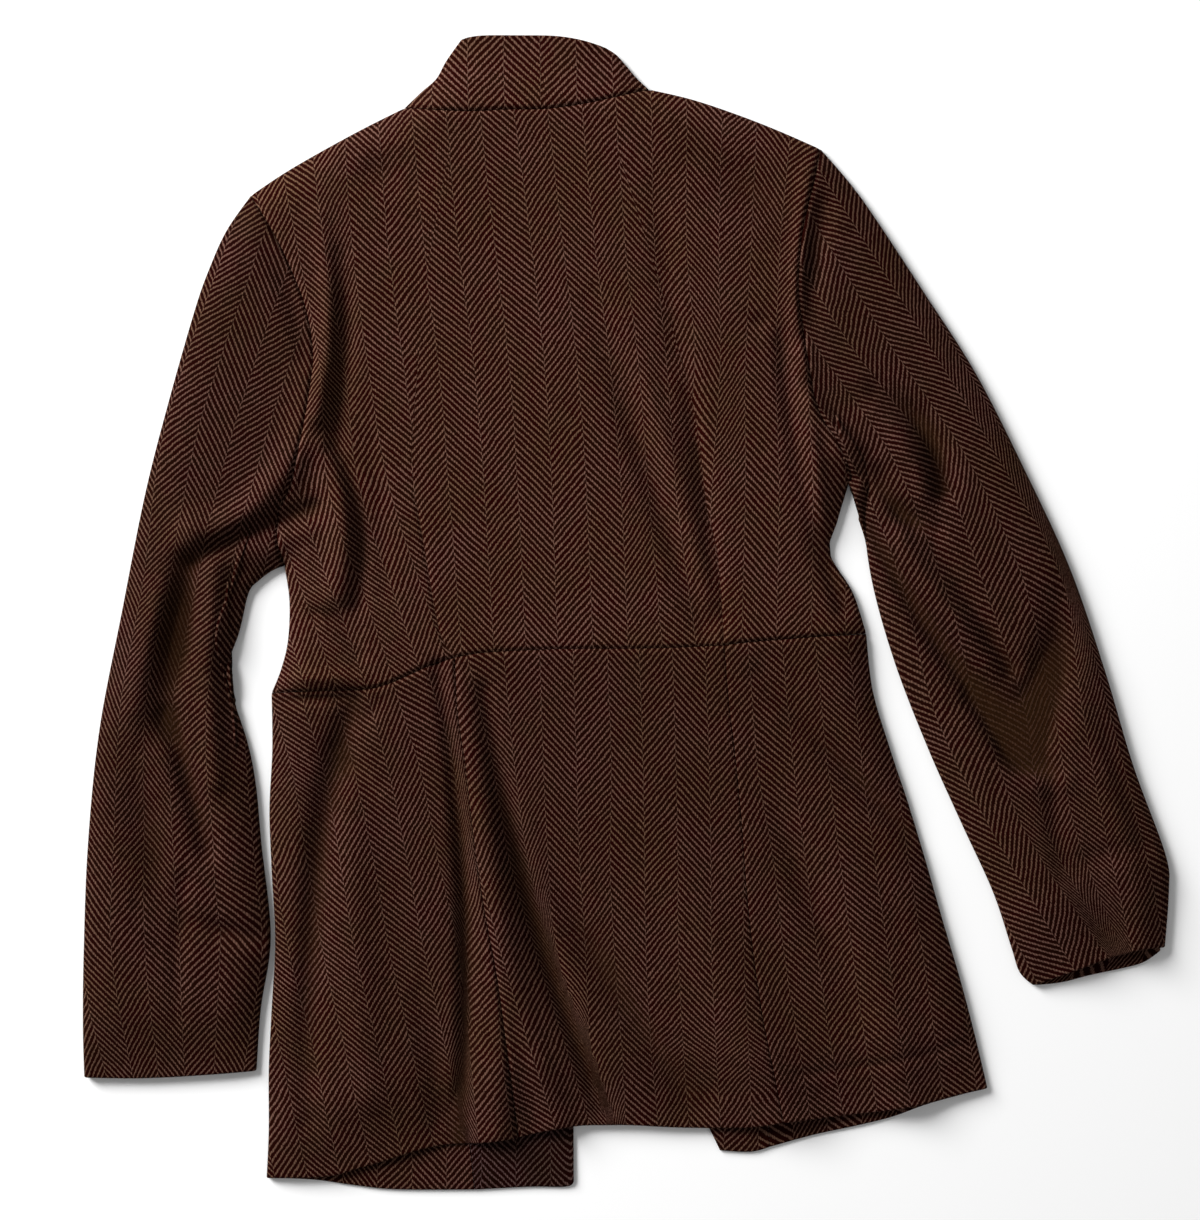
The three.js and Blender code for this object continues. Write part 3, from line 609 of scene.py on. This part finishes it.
# %% Wires and nodes
class Wire:
    """A number in a material; operators on it add Math nodes"""

    def __init__(self, paint, socket):
        self.paint, self.socket = paint, socket

    def math(self, operation, *others):
        values = dict(enumerate([self, *others]))
        node = self.paint.node("ShaderNodeMath", {"operation": operation}, values)
        return Wire(self.paint, node.outputs[0])

    def __add__(self, other): return self.math("ADD", other)
    def __sub__(self, other): return self.math("SUBTRACT", other)
    def __mul__(self, other): return self.math("MULTIPLY", other)
    def __truediv__(self, other): return self.math("DIVIDE", other)
    def __mod__(self, other): return self.math("FLOORED_MODULO", other)
    def __neg__(self): return self * -1
    def __abs__(self): return self.math("ABSOLUTE")
    def __rsub__(self, other): return -self + other
    __radd__, __rmul__ = __add__, __mul__

    def clamped(self):
        return self.math("MAXIMUM", 0).math("MINIMUM", 1)


class Paint:
    """A new material and the one way to add nodes to it"""

    def __init__(self, name):
        self.material = bpy.data.materials.new(name)
        self.material.use_nodes = True
        self.tree = self.material.node_tree
        self.shader = self.tree.nodes["Principled BSDF"]

    def set(self, node, values):
        for socket, value in values.items():
            if isinstance(value, Wire):
                value = value.socket
            if isinstance(value, bpy.types.NodeSocket):
                self.tree.links.new(value, node.inputs[socket])
            else:
                node.inputs[socket].default_value = value

    def node(self, kind, settings, values):
        node = self.tree.nodes.new(kind)
        for setting, value in settings.items():
            setattr(node, setting, value)
        self.set(node, values)
        return node

    def mix(self, factor, first, second, blend="MIX"):
        """Two colours blended by a wire"""
        settings = {"data_type": "RGBA", "blend_type": blend}
        return self.node("ShaderNodeMix", settings, {0: factor, 6: first, 7: second}).outputs[2]

    def noise(self, place, scale, detail=2.0):
        """Soft noise around a half"""
        values = {"Vector": place, "Scale": scale, "Detail": detail}
        return Wire(self, self.node("ShaderNodeTexNoise", {}, values).outputs["Fac"])


# %% [markdown]
# ## Herringbone knit
# Light and dark yarn alternate in slanting lines. Along each line the stitches sit like beads, the
# yarn wanders a little, and odd flecks break it. The lines are counted down the wales and shifted
# up towards each peak; the rest is a stripe with soft edges. At the edge of each wale the lines
# step by half a line, with a thin pale spine between: that break is what makes it herringbone and
# not zigzag. Deep in a trough the lines are painted fainter and the knit plain dark brown, as
# painted shade.

# %% The knit's material
WALE_WIDTH = 24.3
LINE_RISE = 1.08 * WALE_WIDTH   # how far a line climbs between a valley and a peak
STITCH = 1.5
STITCH_SHIFT = 0.37             # how far each line's stitches sit beside those of the next
LIGHT_SHARE = 0.34
LINE_CONTRAST = 4.6
GRIT_CONTRAST = 4.5             # how far single fibres break up the edge of a line
RELIEF_STRENGTH = 0.7
RELIEF_HEIGHT = 0.45 * MM
NOISE = {"wander": 75, "drift": 22, "grit": 820, "patch": 70, "puff": 95}   # grains in a metre
BURGUNDY, BARK = (0.0125, 0.0004, 0.0001, 1), (0.0105, 0.0017, 0.0003, 1)
ROSE, SAND = (0.165, 0.084, 0.064, 1), (0.14, 0.076, 0.046, 1)
NO_TINT = (1, 1, 1)
UNDER_HEM_SHADE_TINT = (0.86, 0.92, 1.15)    # painted shade: the front under the raised back hem is darker and cooler
# painted shade: troughs are painted dark brown with fainter lines, fullest CREASE_FULL deep
CREASE_SHADE_BROWN = (0.03, 0.0125, 0.004, 1)
CREASE_FULL = 11                # depth of a trough whose lines are as faint as they get


def herringbone(name, pitch, shade, tint=NO_TINT):
    """Material of a piece whose lines are pitch apart, multiplied by a shade"""
    paint = Paint(name)
    parts = paint.node("ShaderNodeSeparateXYZ", {}, {
        0: paint.node("ShaderNodeUVMap", {"uv_map": "grain"}, {}).outputs[0]})
    wale, run = Wire(paint, parts.outputs[0]), Wire(paint, parts.outputs[1])
    place = paint.node("ShaderNodeTexCoord", {}, {}).outputs["Object"]
    wander = paint.noise(place, NOISE["wander"]) - 0.5
    drift = paint.noise(place, NOISE["drift"]) - 0.5
    grit = paint.noise(place, NOISE["grit"], 3.0)
    patch = paint.noise(place, NOISE["patch"])
    puff = paint.noise(place, NOISE["puff"])
    # painted shade: how deep the troughs sink each point, stored on the mesh
    troughs = paint.node("ShaderNodeAttribute", {"attribute_name": "crease_shade"}, {})
    crease_shade = Wire(paint, troughs.outputs["Fac"])

    column = wale + wander * 0.05
    zigzag = 1 - abs(column % 2 - 1)
    step = (column % 2).math("GREATER_THAN", 1) * 0.5
    line = (run + zigzag * LINE_RISE) / pitch + step + wander * 0.42 + drift * 0.8
    stripe = abs(line % 1 - 0.5) * 2
    spine = (1 - abs(column % 1 - 0.5) * 2) * WALE_WIDTH
    light = (LIGHT_SHARE - stripe) * LINE_CONTRAST + 0.5 + (grit - 0.5) * GRIT_CONTRAST
    light = (light + (1 - spine * 0.8).clamped() * 0.7).clamped()
    stitches = wale * (WALE_WIDTH / STITCH) + line.math("FLOOR") * STITCH_SHIFT
    beads = (stitches * math.tau).math("SINE")
    # painted shade: the light lines are dimmed in the troughs
    yarn = (light * (0.72 + beads * 0.28) * (1 - crease_shade * 0.3)).clamped()

    dark = paint.mix((patch * 3 - 1).clamped(), BURGUNDY, BARK)
    pale = paint.mix((drift * 3 + 0.5).clamped(), ROSE, SAND)
    # painted shade: deep troughs blend towards a dark brown
    crease_shade_share = (crease_shade * 1.5 - 0.5).clamped() * 0.6
    colour = paint.mix(crease_shade_share, paint.mix(yarn, dark, pale), CREASE_SHADE_BROWN)
    dull, bright = [(*(shade * level * part for part in tint), 1) for level in (0.8, 1.2)]
    fleck = paint.mix((grit * 2 - 0.5).clamped(), dull, bright)
    colour = paint.mix(1.0, colour, fleck, "MULTIPLY")
    relief = light * 0.6 + light * beads * 0.2 + grit * 0.35 + puff * 1.2
    bump = paint.node("ShaderNodeBump", {}, {"Height": relief, "Strength": RELIEF_STRENGTH,
                                             "Distance": RELIEF_HEIGHT})
    paint.set(paint.shader, {"Base Color": colour, "Roughness": 0.86 + grit * 0.12,
                             "Normal": bump.outputs[0], "Sheen Weight": 0.01, "Sheen Roughness": 0.5,
                             "Sheen Tint": (0.5, 0.3, 0.2, 1), "Specular IOR Level": 0.02})
    return paint.material


knit = {
    "knit_back": herringbone("knit_back", 5.0, 1.0),
    "knit_skirt": herringbone("knit_skirt", 4.95, 0.82),
    "knit_sleeve": herringbone("knit_sleeve", 5.05, 0.74),
    "knit_collar": herringbone("knit_collar", 5.3, 1.05),
    "knit_front": herringbone("knit_front", 4.95, 0.8),
    # painted shade: a darker, cooler copy for the front panel in the shadow under the raised back hem
    "knit_front_under_hem_shade": herringbone("knit_front_under_hem_shade", 4.95, 0.62, UNDER_HEM_SHADE_TINT),
}
print("materials:", ", ".join(knit))

# %% [markdown]
# ## From plan to cloth
# Each piece starts as a flat grid and has its points moved to their places; its grain becomes the
# UV of each corner. A Solidify modifier then gives the sheet the thickness of a knit, inwards, so
# its right side stays where it was put.

# %% A sheet of knit
KNIT_THICKNESS = 1.0


def cloth(node, places, wales, material, slot):
    """A sheet of knit; its rows run down and its columns from left to right of its right side"""
    name = f"{node}_cloth"
    rows, columns = places.shape[:2]
    shape = bmesh.new()
    bmesh.ops.create_grid(shape, x_segments=columns - 1, y_segments=rows - 1, size=1)
    layer = shape.loops.layers.uv.new("grain")
    for vert in shape.verts:
        i = round((vert.co.x + 1) / 2 * (columns - 1))
        j = round((1 - vert.co.y) / 2 * (rows - 1))
        vert.index = j * columns + i
    flat_places = np.maximum(places * MM, (-np.inf, -np.inf, 0)).reshape(-1, 3)
    flat_wales = wales.reshape(-1, 2)
    # painted shade: each point keeps how deep the troughs sink it, so the knit is painted darker there
    crease_shade = shape.verts.layers.float.new("crease_shade")
    depths = np.clip(folds(places[..., :2].reshape(-1, 2))[1] / CREASE_FULL, 0, 1)
    for face in shape.faces:
        face.smooth = True
        for corner in face.loops:
            corner[layer].uv = flat_wales[corner.vert.index]
    for vert in shape.verts:
        vert.co = flat_places[vert.index]
        vert[crease_shade] = depths[vert.index]
    area = sum(face.calc_area() for face in shape.faces)
    mesh = bpy.data.meshes.new(name)
    shape.to_mesh(mesh)
    shape.free()
    mesh.materials.append(knit[material])
    piece = bpy.data.objects.new(name, mesh)
    bpy.context.scene.collection.objects.link(piece)
    wall = piece.modifiers.new("thickness", "SOLIDIFY")
    wall.thickness = KNIT_THICKNESS * MM
    wall.offset = -1
    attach(piece, "root")
    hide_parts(node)
    print(f"{name}: {rows} x {columns} points, {area:.4f} square metres")


def outward(places):
    """Direction square to the cloth on its right side, at every point"""
    down = np.gradient(places, axis=0)
    across = np.gradient(places, axis=1)
    normal = np.cross(down, across)
    return normal / np.maximum(np.linalg.norm(normal, axis=2, keepdims=True), 1e-9)


HEM_TURNS = np.radians([30, 60, 90, 120, 150, 180])


def turn_hem(places, wales, depth):
    """Folds the last row under, round a small radius, and runs the cloth back inside"""
    normal = outward(places)
    onward = places[-1] - places[-2]
    onward = onward / np.linalg.norm(onward, axis=1, keepdims=True)
    rows, runs = [], []
    for turn in HEM_TURNS:
        around = math.sin(turn) * onward - (1 - math.cos(turn)) * normal[-1]
        rows.append(places[-1] + HEM_RADIUS * around)
        runs.append(wales[-1] + [0, HEM_RADIUS * turn])
    climbed = np.cumsum(np.linalg.norm(np.diff(places[::-1], axis=0), axis=2).mean(axis=1))
    for step, gone in enumerate(climbed[climbed < depth], start=1):
        rows.append(places[-1 - step] - 2 * HEM_RADIUS * normal[-1 - step])
        back = wales[-1 - step].copy()
        back[:, 1] = wales[-1, :, 1] + HEM_RADIUS * math.pi + gone
        runs.append(back)
    return np.concatenate([places, rows]), np.concatenate([wales, runs])


def raised(plan, heights):
    return np.concatenate([plan, heights[..., None]], axis=2)


# %% [markdown]
# ## Back bodice
# The back is one piece with a dart on each side. A dart takes a wedge of cloth out, so the wales
# left and right of it no longer meet. The piece is spread in three zones that share the lines of
# the darts, and each zone has its own wales: above the tips they agree, below them they don't.

# %% Back bodice
ZONE_JOIN = (0.15, 0.8, 1.6, 2.8, 4.4)
ZONE_BULGE = 40                 # a zone is this much wider at the chest than at its ends
STRETCH_SAMPLES = 60


def body_rows(cell):
    """Rows down both sides of the body that meet the shoulder tips and the underarms together"""
    names = ("shoulder_seam", "armhole", "bodice_side")
    sizes = [(length(left[name]) + length(right[name])) / 2 for name in names]
    down, points = [], {"left": [], "right": []}
    for k, (name, size) in enumerate(zip(names, sizes)):
        first = SEWN if k == 0 else (0,)
        run = stations(size, cell, first, SEWN if k == 2 else (0,))
        run = run if k == 0 else run[1:]
        down.append((sum(sizes[:k]) + run * size) / sum(sizes))
        points["left"].append(along(left[name], run))
        points["right"].append(along(right[name], run))
    return np.concatenate(down), np.vstack(points["left"]), np.vstack(points["right"])


def stretch(line, start, end):
    """The part of a line between two shares of its length"""
    return along(line, np.linspace(start, end, STRETCH_SAMPLES))


def zone(top, bottom, start, end, down, sides):
    """The plan of the back between two lines that share its rows"""
    across = stations((length(top) + length(bottom)) / 2 + ZONE_BULGE, CELL, *sides)
    return fill(top, bottom, start, end, across, down)


down, left_side, right_side = body_rows(CELL)
dart_rows = [along(line, down) for line in (left_dart_line, right_dart_line)]
zones = [
    zone(stretch(neck_seam, 0, NECK_DARTS[0]), waist_left, left_side, dart_rows[0], down,
         (SEWN, ZONE_JOIN)),
    zone(stretch(neck_seam, *NECK_DARTS), waist_centre, *dart_rows, down, (ZONE_JOIN, ZONE_JOIN)),
    zone(stretch(neck_seam, NECK_DARTS[1], 1), waist_right, dart_rows[1], right_side, down,
         (ZONE_JOIN, SEWN)),
]
middle_wale = wale_line(BODICE_ROWS, BETWEEN_DARTS[1][0])
wales = [grain(plan, table, middle_wale)
         for plan, table in zip(zones, (LEFT_OF_DART, BETWEEN_DARTS, RIGHT_OF_DART))]
plan = np.concatenate(zones, axis=1)
cloth("back_bodice", raised(plan, height(plan) - groove(plan) - roll(plan)),
      np.concatenate(wales, axis=1), "knit_back", "knit_back")

# %% [markdown]
# ## Peplum
# Three panels flare from the waist. Each is a sheet of its own, sewn to the next by a princess
# seam, and its lower edge is turned up inside, as a hem is.

# %% Back peplum
HEM_DEPTH = 24


def back_peplum(name, top, bottom, start, end, table):
    """A panel of the peplum, between its waist and its turned-up hem"""
    plan = panel(top, bottom, start, end, CELL)
    places = raised(plan, height(plan) - groove(plan) - roll(plan))
    cloth(name, *turn_hem(places, grain(plan, table), HEM_DEPTH), "knit_skirt", "knit_back")


back_peplum("back_peplum_left", waist_left, hem_left, left["peplum_side"], left["princess"],
            PEPLUM_LEFT)
back_peplum("back_peplum_centre", waist_centre, hem_centre, left["princess"], right["princess"],
            PEPLUM_CENTRE)
back_peplum("back_peplum_right", waist_right, hem_right, right["princess"], right["peplum_side"],
            PEPLUM_RIGHT)

# %% [markdown]
# ## Fronts
# The fronts lie on the floor with their right side down, so from above only the turned-up hems
# show, below the back. A sheet with its right side down has its columns in the other order.

# %% Front panels
FRONT_HEM_DEPTH = 46            # the fronts have a deeper hem than the back
FRONT_CELL = CELL * 1.5         # and only that hem shows


def lying(name, plan, hem, material="knit_front"):
    """A sheet on the floor, right side down, with its outline rolled up to meet the back"""
    plan = plan[:, ::-1]
    places, wales = raised(plan, roll(plan)), grain(plan, FRONTS)
    if hem:
        places, wales = turn_hem(places, wales, FRONT_HEM_DEPTH)
    cloth(name, places, wales, material, "knit_front")


for label, side in (("left", left), ("right", right)):
    sides = [side["shoulder_seam"], side["armhole"], side["bodice_side"]]
    outer = np.vstack([sides[0], sides[1][1:], sides[2][1:]])
    waist = np.vstack([side["front_waist_side"], side["front_waist_centre"][1:]])
    bodice = panel(side["front_neckline"], waist, outer, side["front_edge"], HIDDEN_CELL, last=SEWN)
    low_side = panel(side["front_waist_side"], side["front_hem_side"], side["peplum_side"],
                     side["front_seam"], FRONT_CELL)
    low_centre = panel(side["front_waist_centre"], side["front_hem_centre"], side["front_seam"],
                       side["front_edge_low"], FRONT_CELL)
    if label == "right":
        bodice, low_side, low_centre = bodice[:, ::-1], low_side[:, ::-1], low_centre[:, ::-1]
    lying(f"front_bodice_{label}", bodice, False)
    lying(f"front_peplum_side_{label}", low_side, True)
    # painted shade: the left centre front lies under the raised back hem and takes the shaded copy
    lying(f"front_peplum_centre_{label}", low_centre, True,
          "knit_front_under_hem_shade" if label == "left" else "knit_front")

# %% [markdown]
# ## Sleeves and collar
# A sleeve is one sheet: it lies on the floor, goes round the fold along its outer edge and comes
# back over the top to its seam. Its fold is a half circle in every row. The collar does the same
# twice, once at each end of the neck.

# %% Cloth round a fold
FOLD_TURNS = np.radians(np.linspace(-90, 90, 9))
INWARD_STEP = 12                # the fold's direction is taken from a place this far inside it
PAST_FOLD = (0.6, 2)            # the first columns lie this far past the fold
LAP_REACH = 2                   # faces around a lapped one that are lifted with it


def lapped(plan):
    """Where a plan laps over itself, 1, and 0 elsewhere"""
    down, across = np.diff(plan, axis=0), np.diff(plan, axis=1)
    corners = [first[..., 0] * second[..., 1] - first[..., 1] * second[..., 0]
               for first in (down[:, :-1], down[:, 1:]) for second in (across[:-1], across[1:])]
    turn = np.array(corners) * np.sign(np.median(corners))
    around = np.pad((turn.min(axis=0) <= 0).astype(float), LAP_REACH + 1)
    shifts = range(-LAP_REACH, LAP_REACH + 2)
    widened = np.max([np.roll(around, (i, j), (0, 1)) for i in shifts for j in shifts], axis=0)
    return widened[LAP_REACH + 1:-LAP_REACH, LAP_REACH + 1:-LAP_REACH]


def fold_over(fold, over, under, radius):
    """Places of a sheet that lies below, goes round a fold and lies on top, and its flat plan"""
    columns = np.linalg.norm(over - fold[:, None], axis=2).mean(axis=0)
    inward = over[:, np.searchsorted(columns, INWARD_STEP)] - fold
    inward = inward / np.linalg.norm(inward, axis=1, keepdims=True)
    bend = radius[:, None]
    off = fold + inward * bend
    way = np.linspace(0, 1, over.shape[1])[None]
    edge_heights = 2 * bend + (EDGE - 2 * bend) * way
    top = raised(over, height(over, edge_heights) - groove(over) - roll(over))
    below = raised(under, np.maximum(roll(under), KNIT_THICKNESS * lapped(under)))[:, ::-1]
    turns = FOLD_TURNS[None, :, None]
    arc = raised(off[:, None] - bend[..., None] * np.cos(turns) * inward[:, None],
                 bend + bend * np.sin(FOLD_TURNS)[None])
    far = np.linalg.norm(under - off[:, None], axis=2)[:, ::-1] + math.pi * bend
    round_fold = bend * (math.pi / 2 - FOLD_TURNS)[None]
    flat = np.concatenate([off[:, None] - far[..., None] * inward[:, None],
                           off[:, None] - round_fold[..., None] * inward[:, None], over], axis=1)
    return np.concatenate([below, arc, top], axis=1), flat


# %% Sleeves
SLEEVE_HEM = 26


def sleeve(label, side, table):
    """A sleeve from its armhole to its turned-in cuff"""
    down =stations((length(side["sleeve_outer"]) + length(side["sleeve_inner"])) / 2, CELL, SEWN, OPEN)
    outer, inner = along(side["sleeve_outer"], down), along(side["sleeve_inner"], down)
    width = (length(side["armhole"]) + length(side["cuff"])) / 2
    spread = width / length(side["cuff"])
    near_fold = [(SLEEVE_FOLD + gap) * spread for gap in PAST_FOLD]
    over_across = stations(width, CELL, near_fold, SEWN)
    under_across = stations(width, HIDDEN_CELL, near_fold, SEWN)
    over = fill(side["armhole"], side["cuff"], outer, inner, over_across, down)
    under = fill(side["armhole"], side["cuff_under"], outer, inner, under_across, down)
    opened = smoothstep(down / SLEEVE_FOLD_START)
    places, flat = fold_over(outer, over, under, EDGE / 2 + (SLEEVE_FOLD - EDGE / 2) * opened)
    if label == "right":
        places, flat = places[:, ::-1], flat[:, ::-1]
    cloth(f"sleeve_{label}", *turn_hem(places, grain(flat, table), SLEEVE_HEM),
          "knit_sleeve", "knit_sleeve")


sleeve("left", left, SLEEVE_LEFT)
sleeve("right", right, SLEEVE_RIGHT)

# %% Collar
COLLAR_DEPTH = 44
down = stations((length(left["collar_fold"]) + length(right["collar_fold"])) / 2, CELL, SEWN, OPEN)
halves = []
for side, start, end in ((left, 0, 0.5), (right, 1, 0.5)):
    top_line, neck_line = stretch(collar_top_edge, start, end), stretch(neck_seam, start, end)
    fold = along(side["collar_fold"], down)
    middle = neck_line[-1] + (top_line[-1] - neck_line[-1]) * down[:, None]
    near_fold = [(EDGE / 2 + gap) * length(neck_line) / length(top_line) for gap in PAST_FOLD]
    across = stations(length(neck_line), CELL, near_fold, (0,))
    over = fill(neck_line, top_line, fold, middle, across, down)
    near_fold = [(EDGE / 2 + gap) * length(side["front_neckline"]) / length(side["collar_top"])
                 for gap in PAST_FOLD]
    across = stations(length(side["front_neckline"]), HIDDEN_CELL, near_fold, (1,))
    under = fill(side["front_neckline"], side["collar_top"], fold, along(side["collar_end"], down),
                 across, down)
    halves.append(fold_over(fold, over, under, np.full(len(down), EDGE / 2)))
places, flat = [np.concatenate([first, second[:, -2::-1]], axis=1) for first, second in zip(*halves)]
places, flat = places[:, ::-1], flat[:, ::-1]
cloth("collar", *turn_hem(places, grain(flat, COLLAR), COLLAR_DEPTH), "knit_collar", "knit_collar")
